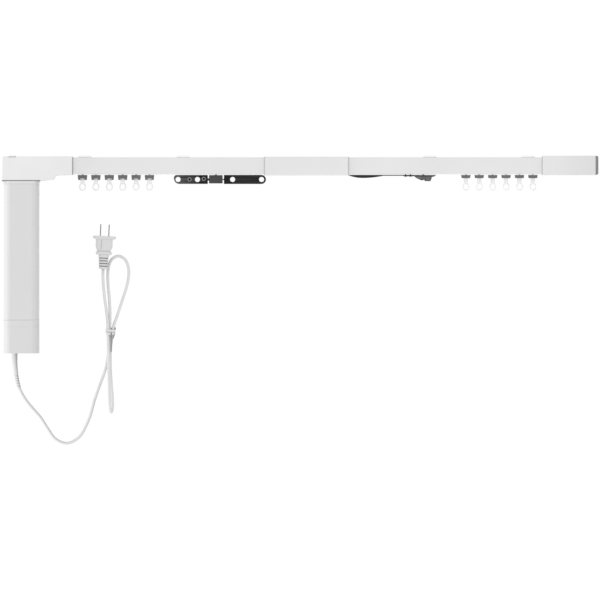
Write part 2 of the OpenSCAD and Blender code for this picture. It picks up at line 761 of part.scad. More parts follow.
module right_carriage() {
  x = right_master_x;
  color([0.29, 0.29, 0.29]) difference() {
    union() {
      carriage_top(x);
      translate([x, y_arm, -6]) linear_extrude(12) polygon([
        [-13.5, -0.2], [19.2, -0.2], [17.7, -1.9], [13.3, -3], [11, -9.3], [2.8, -9.3],
        [1.3, -7.3], [-2.5, -8.2], [-9.2, -5.3], [-13, -2.5]
      ]);
      box([x - 31, y_bot + 0.1, -neck_w / 2], [x - 2, y_flange + 0.5, neck_w / 2]);
    }
    box([x - 14, y_arm - flat_t - fit_gap, -4.5 - fit_gap], [x - 4, y_arm - 0.01, 4.5 + fit_gap]);
    for (p = flat_rivets) rod_y(x + p, y_arm - 2, y_bot + 1.6, 0, shank_r + 0.02);
  }
}

function bow_r(reach, drop) = (reach * reach + drop * drop) / (2 * drop);
module right_lead_arm() {
  x = right_master_x;
  root = x - flat_root;
  tip = x - flat_reach;
  mid = tip + spoon_mid;
  low = y_arm - flat_t - spoon_drop;
  ahead = bow_r(spoon_mid, flat_t + spoon_drop - 0.3);
  behind = bow_r(spoon_len - spoon_mid, spoon_drop);
  bow = concat(
    [for (k = [0:12]) let(d = spoon_mid * (1 - k / 12))
      [mid - d, low + ahead - sqrt(ahead * ahead - d * d)]],
    [for (k = [1:14]) let(d = (spoon_len - spoon_mid) * k / 14)
      [mid + d, low + behind - sqrt(behind * behind - d * d)]]);
  half = 6.5;
  color([0.2, 0.2, 0.2]) difference() {
    intersection() {
      union() {
        translate([0, 0, -half]) linear_extrude(2 * half)
          polygon(concat([[root, y_arm - 0.02], [tip, y_arm - 0.02]], bow, [[root, y_arm - flat_t]]));
        box([root - 0.5, y_arm - flat_t, -4.5], [x - 4.6, y_arm - 0.02, 4.5]);
        box([x - pad_reach, y_arm - flat_t - pad_t, -5], [root - 0.1, y_arm - flat_t + 0.1, 5]);
      }
      along_y(y_arm - 12, y_arm) {
        translate([tip + half, 0]) circle(half);
        translate([tip + half, -half]) square([x - tip, 2 * half]);
      }
    }
    for (h = flat_holes) rod_y(x + h, y_arm - 12, y_arm + 1, 0, hook_hole_r);
    for (p = flat_rivets) rod_y(x + p, y_arm - 4, y_arm + 1, 0, shank_r + 0.02);
  }
}

module right_rivets() {
  x = right_master_x;
  under = y_arm - flat_t - pad_t;
  color([0.4, 0.4, 0.4]) for (p = flat_rivets) {
    rod_y(x + p, under - 0.5, y_bot + 1.5, 0, shank_r);
    translate([x + p, under - 1.2, 0]) rotate([-90, 0, 0]) cylinder(h = 1.2, r1 = 1.8, r2 = 2.6);
  }
}

module right_clamp() {
  clamp(right_master_x, -1);
}
module right_wheels_a() {
  wheel_pair(right_master_x - wheel_x);
}
module right_wheels_b() {
  wheel_pair(right_master_x + wheel_x);
}

// A runner: a light hanger with a T head on the flanges, a stem and a hook eye, and a dark
// tile clipped on the stem between a shoulder and a collar. The right group has low tiles.
eye_w = 6.6;
ring_r = 4.15;
wire_r = 1.1;
ring_len = 1.6;
y_tile = y_bot - 1.4;
y_eye = y_tile - 17;

module runner(x, tile_h) {
  low = y_tile - tile_h;
  half = runner_w / 2;
  color([0.44, 0.44, 0.44]) difference() {
    translate([0, 0, -5]) linear_extrude(10) polygon([
      [x - half, y_tile], [x + half, y_tile], [x + half - 0.75, low], [x - half + 0.75, low]
    ]);
    box([x - eye_w / 2 - 0.05, low - 1, -1.55], [x + eye_w / 2 + 0.05, y_tile + 1, 1.55]);
    box([x - eye_w / 2 - 0.4, low - 1, 0], [x + eye_w / 2 + 0.4, low + max(-0.5, tile_h - 4.9), 6]);
  }
  color([0.88, 0.88, 0.88]) {
    box([x - half + 0.6, y_flange + 0.4, -9.5], [x + half - 0.6, y_flange + 4.2, 9.5]);
    box([x - 1.1, y_tile + 0.05, -neck_w / 2], [x + 1.1, y_flange + 0.5, neck_w / 2]);
    box([x - 1, y_tile - 0.5, -1.4], [x + 1, y_tile + 0.1, 1.4]);
    box([x - eye_w / 2, y_eye + ring_r + 0.4, -1.5], [x + eye_w / 2, y_tile - 0.4, 1.5]);
    box([x - eye_w / 2 + 0.1, low - 1.3, -2.2], [x + eye_w / 2 - 0.1, low - 0.05, 2.2]);
    for (s = [-1, 1]) rod_y(x + s * ring_r, y_eye - ring_len, y_eye, 0, wire_r);
    half_ring(x, y_eye, 1);
    half_ring(x, y_eye - ring_len, -1);
  }
}
module half_ring(x, y, up) {
  intersection() {
    translate([x, y, 0]) rotate_extrude() translate([ring_r, 0]) circle(wire_r);
    box([x - 9, up > 0 ? y : y - 9, -9], [x + 9, up > 0 ? y + 9 : y, 9]);
  }
}
module runner_left(i) {
  runner(first_left + (i - 1) * runner_pitch, 7.3);
}
module runner_right(i) {
  runner(first_right - (i - 1) * runner_pitch, 4.6);
}

// The lead's route from inside the cap: place along X and Y from the cap's cord hole,
// and height of the middle above the table. It hangs down to the table, curves back under
// the hank, makes the top loop, the bottom fold and the way up to the plug.
cap_mid = motor_d / 2;
route = [
  [0, 6, cap_mid], [0, -4, cap_mid], [0.4, -16, cap_mid - 0.8], [2.4, -33, cap_mid - 4],
  [6.5, -51, cap_mid - 9], [12, -63, cap_mid - 13], [18.5, -73, 5.6], [27.5, -84, 3.3],
  [38, -96, 2.5], [49, -113, 2.35], [61, -129, 2.35], [78, -135.4, 2.35], [94, -128, 2.35],
  [109, -104, 2.35], [120, -69, 2.35], [128, -46, 2.35], [136, -24, 2.35],
  [140.5, 3, 2.35], [142.3, 36.5, 3.7], [142.8, 58, 2.5], [142, 81, 2.35], [139.9, 104, 2.35],
  [139.6, 119, 2.35], [141.1, 131.5, 2.35], [146.3, 141.4, 2.35], [155.4, 146, 2.35],
  [164.5, 141.6, 2.35], [169.8, 131.5, 2.35], [171.1, 119, 2.35], [168.6, 103, 2.35],
  [161.5, 80, 2.35], [153.5, 56, 2.5],
  [147.5, 36.5, 4], [147, 28, 5.5], [145.3, 19, 7.1], [143.7, 8, 6.8], [143.5, -6, 6],
  [143.5, -22, 3.4], [144.3, -38, 2.4], [145.9, -60, 2.5],
  [146.8, -76.5, 2.9], [146.4, -83.8, 5.2], [145.4, -87.9, 11], [144.2, -87.9, 18.2], [143.2, -83.6, 24],
  [142.8, -76.5, 26.3], [142.4, -63, 25], [142, -49, 20.4], [141.5, -35, 15.2], [141.1, -21, 11.9],
  [140.7, -8, 10.8], [140.4, 4, 10.6], [140.2, 20, 10], [139.8, 36.5, 8.6],
  [138.2, 58, 6.6], [135.2, 80, 6.6], [133.2, 98, 7.8], [132.4, 113, 9.4], [132.6, 126.5, 10]
];
gland_ends = 4;
// the plug leans a little to the right
plug_turn = 2.5;
plug_way = [sin(plug_turn), cos(plug_turn), 0];
places = [for (p = route) [cord_x + p[0], y_end + p[1], z_table + p[2]]];
last = len(places) - 1;

// A smooth curve through the places: the slope at each is weighed by its neighbours' distances
function slope(p, i) =
  i == 0 ? [0, -1, 0] :
  i == len(p) - 1 ? plug_way :
  let(a = norm(p[i] - p[i - 1]), b = norm(p[i + 1] - p[i]))
  unit((p[i] - p[i - 1]) / a * b + (p[i + 1] - p[i]) / b * a);
function curve(p, i, t) =
  let(h = norm(p[i + 1] - p[i]), a = slope(p, i) * h, b = slope(p, i + 1) * h)
  (2 * t * t * t - 3 * t * t + 1) * p[i] + (t * t * t - 2 * t * t + t) * a
  + (3 * t * t - 2 * t * t * t) * p[i + 1] + (t * t * t - t * t) * b;
function rings_of(p, from, to, step) = concat(
  [for (i = [from:to - 1]) let(n = ceil(norm(p[i + 1] - p[i]) / step))
    for (k = [0:n - 1]) curve(p, i, k / n)],
  [p[to]]);
function unit(v) = v / norm(v);
function along(c, i, first, final) =
  i == 0 ? first : i == len(c) - 1 ? final : unit(c[i + 1] - c[i - 1]);

// A tube of flat-sided rings about the points c, with a radius for each ring; a wide tube is
// a ribbon, that many times wider along up than it is thick
module tube(c, radii, first, final, sides, up = [0.02, 0.03, 1], wide = 1) {
  n = len(c);
  points = [for (i = [0:n - 1])
    let(d = along(c, i, first, final), s = unit(cross(d, up)), u = cross(d, s))
    for (k = [0:sides - 1]) let(a = k * 360 / sides)
      c[i] + radii[i] * (cos(a) * s + wide * sin(a) * u)];
  faces = concat(
    [[for (k = [0:sides - 1]) k]],
    [for (i = [0:n - 2], k = [0:sides - 1]) let(a = i * sides, b = (k + 1) % sides)
      [a + k, a + sides + k, a + sides + b]],
    [for (i = [0:n - 2], k = [0:sides - 1]) let(a = i * sides, b = (k + 1) % sides)
      [a + k, a + sides + b, a + b]],
    [[for (k = [0:sides - 1]) (n - 1) * sides + sides - 1 - k]]);
  polyhedron(points, faces);
}

// The gland: a flange inside the cap, then a taper with four notches near its end
gland_line = rings_of(places, 0, gland_ends, 2.4);
function gland_r(c) =
  let(d = y_end - c[1])
  d < -4.6 ? 6.4 : d < 0.5 ? 4.8 : 4.5 - 1.5 * d / 51 - (d > 31 && floor(d / 2.4) % 2 == 0 ? 0.6 : 0);
module cord_gland() {
  color([0.86, 0.86, 0.86]) tube(gland_line, [for (c = gland_line) gland_r(c)],
    [0, -1, 0], slope(places, gland_ends), 12);
}

cord_line = rings_of(places, gland_ends, last, cord_d * 3.8);
module cord() {
  color([0.85, 0.85, 0.86]) tube(cord_line, [for (c = cord_line) cord_r],
    slope(places, gland_ends), plug_way, 8);
}

// The least gap of the cord to itself, between points over five diameters apart along it
fine = rings_of(places, gland_ends, last, cord_d * 0.9);
function total(v, i = 0) = i >= len(v) - 1 ? 0 : norm(v[i + 1] - v[i]) + total(v, i + 1);
gaps = [for (i = [0:len(fine) - 1], j = [i + 9:1:len(fine) - 1]) norm(fine[i] - fine[j]) - cord_d];
echo(least_cord_gap = min(gaps), cord_length = total(fine), cord_rings = len(cord_line));

// The tie: a ribbon twice round the three strands, with its ends twisted together
tie_half = 0.4;
tie_wide = 4.75;
tie_way = [
  [151.5, 4.3], [150.7, 1.7], [148.1, 0.6], [145, 0.55], [142.1, 0.48], [140.3, 1], [139.2, 2.4],
  [137, 7.7], [136.8, 8.9], [137.7, 11.1], [139.9, 12], [141.5, 11.6], [149, 7.2], [150.4, 5.6],
  [150.6, 4.4], [149.7, 2.2], [147.7, 1.1], [145, 0.65], [142, 0.48], [140.2, 1], [139.1, 2.4],
  [137, 7.8], [136.8, 9.2], [137.6, 11.4], [139.9, 12.4], [141.7, 12.1], [149.3, 7.9], [150.4, 6.8]
];
// its long end lies on the strands, its short end stands off at the side
tie_rings = 15;
stub_rings = 5;
function tie_end(t) =
  [cord_x + 144.8 + 0.8 * sin(180 * t), y_end + 31 - 28.5 * t, z_table + 11.5 - 1.3 * t];
function tie_stub(t) =
  [cord_x + 150.2 - 2.6 * t, y_end + 29.5 - 7.2 * t, z_table + 6.9 + 2.9 * pow(t, 0.7)];
module cord_tie() {
  n = len(tie_way);
  c = [for (i = [0:n - 1])
    [cord_x + tie_way[i][0], y_end + 37.4 - 8.6 * i / (n - 1), z_table + tie_way[i][1]]];
  color([0.93, 0.93, 0.93]) {
    tube(c, [for (p = c) tie_half], unit(c[1] - c[0]), unit(c[n - 1] - c[n - 2]), 8,
      [0, 1, 0], tie_wide);
    twisted([for (i = [0:tie_rings - 1]) tie_end(i / (tie_rings - 1))], 1.15, 0.85);
    twisted([for (i = [0:stub_rings - 1]) tie_stub(i / (stub_rings - 1))], 0.8, 0.6);
  }
}
module twisted(c, thick, thin) {
  n = len(c);
  tube(c, [for (i = [0:n - 1]) i % 2 == 0 ? thick : thin], unit(c[1] - c[0]), unit(c[n - 1] - c[n - 2]), 8);
}

// The plug, lying on the table with its blades on edge
plug_x = cord_x + 132.6;
y_plug = y_end + 126.5;
z_plug = z_table + 10;
face_y = 49.5;
blade_len = 17.5;
module plug_outline() {
  polygon([
    [-17.2, 49.5], [-17.2, 45.5], [-12.7, 44.5], [-12.7, 33], [-9.9, 27], [-12.1, 26], [-12.1, 21.5],
    [12.1, 21.5], [12.1, 26], [9.9, 27], [12.7, 33], [12.7, 44.5], [17.2, 45.5], [17.2, 49.5]
  ]);
}
module plug_side() {
  polygon([
    [-10, 49.5], [-10, 45.5], [-8, 44.5], [-8, 33], [-7.2, 27], [-8.2, 26], [-8.2, 21.5],
    [8.2, 21.5], [8.2, 26], [7.2, 27], [8, 33], [8, 44.5], [10, 45.5], [10, 49.5]
  ]);
}
module plug_place() {
  translate([plug_x, y_plug, z_plug]) rotate([0, 0, -plug_turn]) children();
}
module plug_body() {
  color([0.85, 0.85, 0.86]) plug_place() difference() {
    union() {
      intersection() {
        translate([0, 0, -12]) linear_extrude(24) plug_outline();
        along_x(-20, 20) plug_side();
        along_y(20, 50) rounded(-17.2, -10, 17.2, 10, 6);
      }
      rotate([-90, 0, 0]) cylinder(h = 22, r1 = 6.6, r2 = 7.9);
    }
    for (y = [3.5, 7.5, 11.5, 15.5]) difference() {
      rod_y(0, y, y + 1.5, 0, 12);
      rod_y(0, y - 1, y + 3, 0, 5.5 + 0.05 * y);
    }
    box([-4.5, 30, 7.2], [-3.7, 44, 9]);
    for (s = [-1, 1]) box([s * blade_gap / 2 - 0.76, 42.5, -3.2], [s * blade_gap / 2 + 0.76, 51, 3.2]);
  }
}

module plug_blades() {
  color([0.65, 0.65, 0.66]) plug_place() for (s = [-1, 1]) translate([s * blade_gap / 2, face_y, 0])
    difference() {
      box([-0.75, -6.5, -3.17], [0.75, blade_len, 3.17]);
      rod_x(-2, 2, blade_len - 5, 0, 1.6);
      for (m = [-1, 1]) translate([0, blade_len, m * 3.17]) rotate([45, 0, 0])
        cube([4, 1.8, 1.8], center = true);
    }
}

left_rail();
right_rail();
joint_sleeve();
bracket_plates();
drive_housing();
drive_lid();
idler_housing();
end_plate();
case_screws();
belt();
idler_axle();
pulley_bushes();
rail_seals();
motor_seal();
motor_collar();
motor_casing();
motor_cap();
gearbox();
motor_can();
control_board();
light_pipe();
cord_gland();
cord();
cord_tie();
plug_body();
plug_blades();
drive_pulley();
drive_shaft();
idler_pulley();
release_latch();
setting_button();
bracket_lever_1();
bracket_lever_2();
bracket_lever_3();
bracket_lever_4();
left_carriage();
left_tail_arm();
left_lead_arm();
left_rivets();
left_clamp();
left_wheels_a();
left_wheels_b();
right_carriage();
right_lead_arm();
right_rivets();
right_clamp();
right_wheels_a();
right_wheels_b();
runner_left(1);  // runner_l1
runner_left(2);  // runner_l2
runner_left(3);  // runner_l3
runner_left(4);  // runner_l4
runner_left(5);  // runner_l5
runner_left(6);  // runner_l6
runner_right(1);  // runner_r1
runner_right(2);  // runner_r2
runner_right(3);  // runner_r3
runner_right(4);  // runner_r4
runner_right(5);  // runner_r5
runner_right(6);  // runner_r6
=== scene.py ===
"""Electric curtain track, dressed for its portrait: camera, lead, finishes, fine pieces, light."""

import math

import bmesh
import bpy
from mathutils import Matrix, Vector


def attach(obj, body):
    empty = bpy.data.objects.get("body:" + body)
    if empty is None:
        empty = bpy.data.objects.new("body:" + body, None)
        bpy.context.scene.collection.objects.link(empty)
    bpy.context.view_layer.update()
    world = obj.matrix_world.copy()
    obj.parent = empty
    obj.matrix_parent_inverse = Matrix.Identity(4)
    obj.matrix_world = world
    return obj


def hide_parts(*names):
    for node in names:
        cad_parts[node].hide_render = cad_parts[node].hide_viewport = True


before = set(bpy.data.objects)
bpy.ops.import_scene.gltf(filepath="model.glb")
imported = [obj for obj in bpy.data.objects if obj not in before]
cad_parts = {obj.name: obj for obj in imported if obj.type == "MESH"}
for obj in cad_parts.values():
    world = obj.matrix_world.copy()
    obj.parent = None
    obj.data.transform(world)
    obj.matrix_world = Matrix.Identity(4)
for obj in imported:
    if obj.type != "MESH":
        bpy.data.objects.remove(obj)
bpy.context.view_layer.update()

MM = 0.001
WHITE = (1.0, 1.0, 1.0, 1.0)

# Sizes that the fine pieces share with the track, in mm
MOTOR_X = -427.5
CAP_END_Y = -296.25
TABLE_Z = -22.0
CORD_X = MOTOR_X - 10.5
CORD_D = 4.5
CAP_MID = 22.0
CAP_TOP_Y = -247.2
CAP_GROOVE_Y = -256.1
NECK_Y = -29.0
HANK_X = -303.0
# The bend protector's rings: where they start below the cap, and their spacing
RING_START, RING_PITCH = 32.0, 3.7
# The plug's strain relief: length, radius at its thin end, growth of the radius along it
RELIEF_LEN, RELIEF_R, RELIEF_FLARE = 21.4, 6.6, 1.3 / 22
# The slots in it: first, last, spacing, width, depth
SLOT_START, SLOT_END, SLOT_PITCH, SLOT_WIDTH, SLOT_DEPTH = 3.4, 19.4, 4.0, 1.7, 0.75


# Camera

def add_camera():
    """Looks straight down at the track as it lies on its back, through a very long lens."""
    view_x, view_y = -9.75, -216.3
    frame_width, distance = 0.9, 12.0
    data = bpy.data.cameras.new("camera")
    data.sensor_width = 36.0
    data.lens = data.sensor_width * distance / frame_width
    data.clip_start, data.clip_end = 0.1, 100.0
    camera = bpy.data.objects.new("camera", data)
    camera.location = (view_x * MM, view_y * MM, distance)
    bpy.context.collection.objects.link(camera)
    bpy.context.scene.camera = camera


add_camera()


# The lead

# Places along X and Y from the cap's cord hole, and height of the middle above the table
ROUTE = [
    (0, 6, CAP_MID), (0, -4, CAP_MID), (0.4, -16, CAP_MID - 0.8), (2.4, -33, CAP_MID - 4),
    (6.5, -51, CAP_MID - 9), (12, -63, CAP_MID - 13), (18.5, -73, 5.6), (27.5, -84, 3.3),
    (38, -96, 2.5), (49, -113, 2.35), (61, -129, 2.35), (78, -135.4, 2.35), (94, -128, 2.35),
    (109, -104, 2.35), (120, -69, 2.35), (128, -46, 2.35), (136, -24, 2.35), (140.5, 3, 2.35),
    (142.3, 36.5, 3.7), (142.8, 58, 2.5), (142, 81, 2.35), (139.9, 104, 2.35),
    (139.6, 119, 2.35), (141.1, 131.5, 2.35), (146.3, 141.4, 2.35), (155.4, 146, 2.35),
    (164.5, 141.6, 2.35), (169.8, 131.5, 2.35), (171.1, 119, 2.35), (168.6, 103, 2.35),
    (161.5, 80, 2.35), (153.5, 56, 2.5), (147.5, 36.5, 4), (147, 28, 5.5), (145.3, 19, 7.1),
    (143.7, 8, 6.8), (143.5, -6, 6), (143.5, -22, 3.4), (144.3, -38, 2.4), (145.9, -60, 2.5),
    (146.8, -76.5, 2.9), (146.4, -83.8, 5.2), (145.4, -87.9, 11), (144.2, -87.9, 18.2),
    (143.2, -83.6, 24), (142.8, -76.5, 26.3), (142.4, -63, 25), (142, -49, 20.4),
    (141.5, -35, 15.2), (141.1, -21, 11.9), (140.7, -8, 10.8), (140.4, 4, 10.6),
    (140.2, 20, 10), (139.8, 36.5, 8.6), (138.2, 58, 6.6), (135.2, 80, 6.6), (133.2, 98, 7.8),
    (132.4, 113, 9.4), (132.6, 126.5, 10),
]
GLAND_END = 4
PLUG_TURN = math.radians(2.5)
PLUG_WAY = Vector((math.sin(PLUG_TURN), math.cos(PLUG_TURN), 0))


def from_cap(x, y, height):
    """A place on the table side of the cap's cord hole, in metres."""
    return Vector((CORD_X + x, CAP_END_Y + y, TABLE_Z + height)) * MM


PLACES = [from_cap(*place) for place in ROUTE]
PLUG_AT = PLACES[-1]


def slope(places, i):
    """The curve's direction at a place, weighed by the distances to its neighbours."""
    if i == 0:
        return Vector((0, -1, 0))
    if i == len(places) - 1:
        return PLUG_WAY
    before, after = places[i] - places[i - 1], places[i + 1] - places[i]
    a, b = before.length, after.length
    return (before / a * b + after / b * a).normalized()


def smooth_line(places, first, last, steps):
    """Points of the smooth curve through the places from first to last."""
    line = []
    for i in range(first, last):
        p, q = places[i], places[i + 1]
        reach = (q - p).length
        a, b = slope(places, i) * reach, slope(places, i + 1) * reach
        for k in range(steps):
            t = k / steps
            line.append((2 * t**3 - 3 * t**2 + 1) * p + (t**3 - 2 * t**2 + t) * a
                        + (3 * t**2 - 2 * t**3) * q + (t**3 - t**2) * b)
    line.append(places[last])
    return line


def wire(name, lines, radius, sides=4):
    """Round wire along one or more lines of points."""
    data = bpy.data.curves.new(name, "CURVE")
    data.dimensions = "3D"
    data.bevel_depth = 1.0
    data.bevel_resolution = sides
    data.use_fill_caps = True
    for line in lines:
        spline = data.splines.new("POLY")
        spline.points.add(len(line) - 1)
        for point, place in zip(spline.points, line):
            point.co = (*place, 1.0)
            point.radius = radius
        spline.use_smooth = True
    piece = bpy.data.objects.new(name, data)
    bpy.context.collection.objects.link(piece)
    return piece


cord_line = smooth_line(PLACES, GLAND_END, len(PLACES) - 1, 10)
cord_length = sum((b - a).length for a, b in zip(cord_line, cord_line[1:]))
lead = wire("lead", [cord_line], CORD_D / 2 * MM, sides=6)
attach(lead, "track")
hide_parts("cord")


# Finishes

class Value:
    """A socket in a finish's nodes; arithmetic on it adds Math nodes."""

    def __init__(self, finish, socket):
        self.finish, self.socket = finish, socket

    def maths(self, operation, a, b):
        return self.finish.node("ShaderNodeMath", {"operation": operation}, {0: a, 1: b})

    def __add__(self, other):
        return self.maths("ADD", self, other)

    def __sub__(self, other):
        return self.maths("SUBTRACT", self, other)

    def __rsub__(self, other):
        return self.maths("SUBTRACT", other, self)

    def __mul__(self, other):
        return self.maths("MULTIPLY", self, other)

    def __pow__(self, other):
        return self.maths("POWER", self, other)

    __radd__, __rmul__ = __add__, __mul__


class Finish:
    """A material on one Principled shader, with its nodes made by one method."""

    def __init__(self, name, **sockets):
        self.material = bpy.data.materials.new(name)
        self.material.use_nodes = True
        self.tree = self.material.node_tree
        self.shader = self.tree.nodes["Principled BSDF"]
        for socket, value in sockets.items():
            self.feed(self.shader.inputs[socket.replace("_", " ")], value)
        self.place = self.node("ShaderNodeTexCoord", output="Object")

    def feed(self, socket, value):
        if isinstance(value, Value):
            self.tree.links.new(value.socket, socket)
        else:
            socket.default_value = value

    def node(self, kind, settings=None, inputs=None, output=0):
        node = self.tree.nodes.new(kind)
        for name, setting in (settings or {}).items():
            if name == "stops":
                for stop, (at, colour) in zip(node.color_ramp.elements, setting):
                    stop.position, stop.color = at, colour
            else:
                setattr(node, name, setting)
        for name, value in (inputs or {}).items():
            self.feed(node.inputs[name], value)
        return Value(self, node.outputs[output])

    def noise(self, size, detail=2.0, stretch=(1, 1, 1)):
        """Soft noise between 0 and 1 whose blobs are about size mm across."""
        place = self.node("ShaderNodeVectorMath", {"operation": "MULTIPLY"},
                          {0: self.place, 1: stretch})
        return self.node("ShaderNodeTexNoise", None,
                         {"Vector": place, "Scale": 1000.0 / size, "Detail": detail})

    def ramp(self, value, stops):
        return self.node("ShaderNodeValToRGB", {"stops": stops}, {0: value})

    def mix(self, amount, a, b):
        """Colour a where amount is nought, colour b where it is one."""
        return self.node("ShaderNodeMix", {"data_type": "RGBA"}, {0: amount, 6: a, 7: b}, output=2)

    def axis(self, number, place=None):
        """One coordinate in mm: 0 runs along the track, 1 to the ceiling, 2 to the front."""
        return self.node("ShaderNodeSeparateXYZ", None, {0: place or self.place}, output=number) * 1000.0

    def rise(self, value, start, end):
        """Rises from nought to one while the value goes from start to end."""
        return self.node("ShaderNodeMapRange", None,
                         {"Value": value, "From Min": start, "From Max": end})

    def bump(self, height, depth):
        """Relief of depth mm."""
        return self.node("ShaderNodeBump", None,
                         {"Height": height, "Distance": depth * MM, "Strength": 1.0})


def grey(level, warm=0.0):
    return (level * (1 + warm), level, level * (1 - warm), 1.0)


def moulded(name, level, rough, grain=0.5, depth=0.02, drift=0.03, warm=0.0, gloss=0.5, cloud=45,
            fades=(), marks=()):
    """Moulded plastic: a fine spark-eroded grain, slow drift of tone, patchy sheen.
    Fades are two places along the track and the level that the tone goes to between them.
    Marks are masks of grooves or edges, each with the level of the shade there."""
    finish = Finish(name, IOR=1.48, Specular_IOR_Level=gloss)
    drifting = finish.noise(cloud)
    fine = finish.noise(grain, detail=3)
    tone = finish.ramp(
        drifting * 0.8 + fine * 0.2,
        [(0.25, grey(level * (1 - drift), warm)), (0.75, grey(level * (1 + drift), warm))])
    for start, end, other in fades:
        tone = finish.mix(finish.rise(finish.axis(0), start, end), tone, grey(other, warm))
    for mask, other in marks:
        tone = finish.mix(mask(finish), tone, grey(other, warm))
    finish.feed(finish.shader.inputs["Base Color"], tone)
    finish.feed(finish.shader.inputs["Roughness"], rough - 0.08 + finish.noise(9) * 0.16)
    finish.feed(finish.shader.inputs["Normal"], finish.bump(fine, depth))
    return finish


def coated(name, level, rough, warm=0.0, dark_edge_reach=None, fades=()):
    """Powder-coated metal: orange peel under a soft sheen. The edge setting is how far from the
    track's middle, in mm, the coat turns darker along its edges."""
    finish = Finish(name, IOR=1.5, Coat_Roughness=0.25)
    peel = finish.noise(1.6, detail=1)
    speckle = finish.noise(0.35, detail=2)
    tone = finish.ramp(
        finish.noise(80) * 0.7 + speckle * 0.3,
        [(0.3, grey(level * 0.975, warm)), (0.7, grey(level * 1.025, warm))])
    if dark_edge_reach:
        x = finish.axis(0)
        edge = finish.rise(x, dark_edge_reach - 0.5, dark_edge_reach) + finish.rise(x, 0.5 - dark_edge_reach, -dark_edge_reach)
        tone = finish.mix(edge, tone, grey(level * 0.62, warm))
    for start, end, other in fades:
        tone = finish.mix(finish.rise(finish.axis(0), start, end), tone, grey(other, warm))
    finish.feed(finish.shader.inputs["Base Color"], tone)
    finish.feed(finish.shader.inputs["Roughness"], rough - 0.06 + speckle * 0.12)
    finish.feed(finish.shader.inputs["Coat Weight"], 0.1 + peel * 0.15)
    finish.feed(finish.shader.inputs["Normal"], finish.bump(peel * 0.7 + speckle * 0.3, 0.03))
    return finish


def metal(name, level, rough, stretch=(1, 1, 1), warm=0.0, line=0.25, bore=None):
    """Drawn or turned metal with fine lines along the way it was worked. A bore is the height in
    mm below which the colour is painted dark, as painted shade inside the hole."""
    finish = Finish(name, Metallic=1.0)
    lines = finish.noise(line, detail=3, stretch=stretch)
    tone = finish.ramp(lines * 0.6 + finish.noise(12) * 0.4,
                       [(0.3, grey(level * 0.9, warm)), (0.7, grey(level * 1.08, warm))])
    # Painted shade: near black inside the hole below the bore height
    if bore:
        tone = finish.mix(finish.rise(finish.axis(2), bore, bore - 0.3), tone, grey(level * 0.03))
    finish.feed(finish.shader.inputs["Base Color"], tone)
    finish.feed(finish.shader.inputs["Roughness"], rough - 0.08 + lines * 0.16)
    finish.feed(finish.shader.inputs["Normal"], finish.bump(lines, 0.006))
    return finish


def necks(finish):
    """The masters' necks and carriages, which are white above their dark blocks."""
    return finish.rise(finish.axis(1), NECK_Y, NECK_Y + 0.1)


def block_top_painted_shade(finish):
    """Painted shade along the upper edge of a master's block, just under the rail."""
    return finish.rise(finish.axis(1), NECK_Y - 3.0, NECK_Y - 1.8)


def far_side_painted_shade(finish):
    """Painted shade on the free lead's side that faces away from the window."""
    facing = finish.node("ShaderNodeTexCoord", output="Normal")
    away = (finish.axis(0, facing) * 0.85 + finish.axis(1, facing) * 0.5) * MM
    free = finish.rise(finish.axis(0), HANK_X, HANK_X - 15)
    return finish.rise(away, -0.1, 0.8) * free * 0.5


def gland_painted_shade(finish):
    """Painted shade in the rings near the bend protector's thin end, deeper on its outer side, and
    painted shade along that outer side.
    """
    out = CAP_END_Y - finish.axis(1)
    turn = out.maths("COSINE", (out - RING_START) * (2 * math.pi / RING_PITCH), 0.0)
    rings = finish.rise(0.5 - turn * 0.5, 0.5, 0.9) * finish.rise(out, RING_START, RING_START + 1)
    side = finish.axis(0) - CORD_X - out * out * 0.0025
    return rings * (0.25 + finish.rise(side, 0.0, 1.5) * 0.75) + finish.rise(side, 0.2, 3.4) * 0.72


def cap_groove_painted_light(finish):
    """Painted light in the groove across the front of the motor's cap: paler than the cap, to cancel the
    shade in the groove.
    """
    y, side = finish.axis(1), finish.axis(0) - MOTOR_X
    front = finish.rise(side * side, 20.0 ** 2, 15.0 ** 2)
    below = finish.rise(y, CAP_GROOVE_Y - 0.6, CAP_GROOVE_Y - 0.2)
    above = finish.rise(y, CAP_GROOVE_Y + 0.6, CAP_GROOVE_Y + 0.2)
    return below * above * front


def cap_seam(finish):
    """The shade in the seam between the motor's cap and its casing."""
    return finish.rise(finish.axis(1), CAP_TOP_Y - 1.0, CAP_TOP_Y)


def plug_grooves(finish):
    """The shade in the plug's strain-relief slots, its grip line and its waist."""
    place = finish.node("ShaderNodeMapping", {"vector_type": "TEXTURE"},
                        {"Vector": finish.place, "Location": PLUG_AT, "Rotation": (0, 0, -PLUG_TURN)})
    x, y, z = (finish.axis(number, place) for number in range(3))
    depth = RELIEF_R + y * RELIEF_FLARE - (x * x + z * z) ** 0.5
    slots = finish.rise(depth, 0.15, 0.4) * finish.rise(y, 20.4, 20.0)
    side = x + 4.2
    line = finish.rise(side * side, 0.4, 0.15) * finish.rise(y, 30, 31) * finish.rise(y, 44, 43)
    waist = finish.rise(y, 25.9, 26.4) * finish.rise(y, 27.6, 27.1)
    return slots + line * finish.rise(z, 2, 3) * 0.45 + waist * 0.4


# Painted light along the motor's left side, which faces the window, and painted shade along its right
MOTOR_SIDE_LIGHT_AND_SHADE = [(MOTOR_X - 15, MOTOR_X - 21, 0.72), (MOTOR_X + 14, MOTOR_X + 26, 0.62)]

